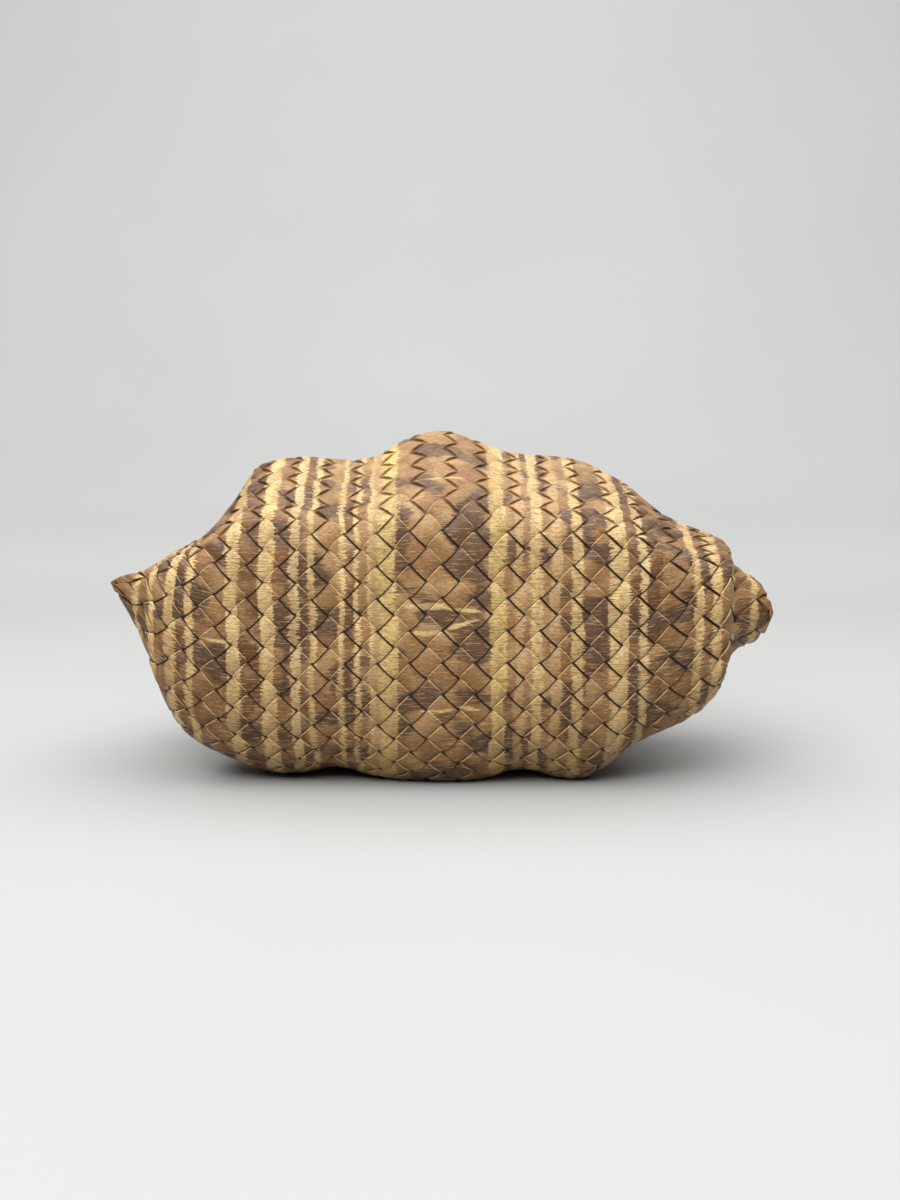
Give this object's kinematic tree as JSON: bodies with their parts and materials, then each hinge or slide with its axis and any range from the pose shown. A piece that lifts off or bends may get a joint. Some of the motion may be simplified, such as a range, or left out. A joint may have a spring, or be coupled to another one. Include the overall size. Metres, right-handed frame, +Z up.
{
  "type": "woven leather clutch",
  "caption": "Soft hollow clutch of diagonally woven, stripe-printed leather strips, lying on its back panel, with gathered side corners and an open slit mouth in a folded leather edge.",
  "frame": {"origin": "on the floor under the middle of the clutch's box", "axes": "+X along the clutch's width from its pointed corner to its rounded corner, +Y from the base to the mouth, +Z up from the surface it lies on"},
  "size_m": [0.2956, 0.1414, 0.1549],
  "materials": {
    "woven_leather": "satin, brown and straw stripes printed across the strips",
    "edge_leather": "satin, plain brown"
  },
  "bodies": {
    "root": {"woven_body": "woven_leather", "mouth_binding": "edge_leather"}
  },
  "joints": []
}
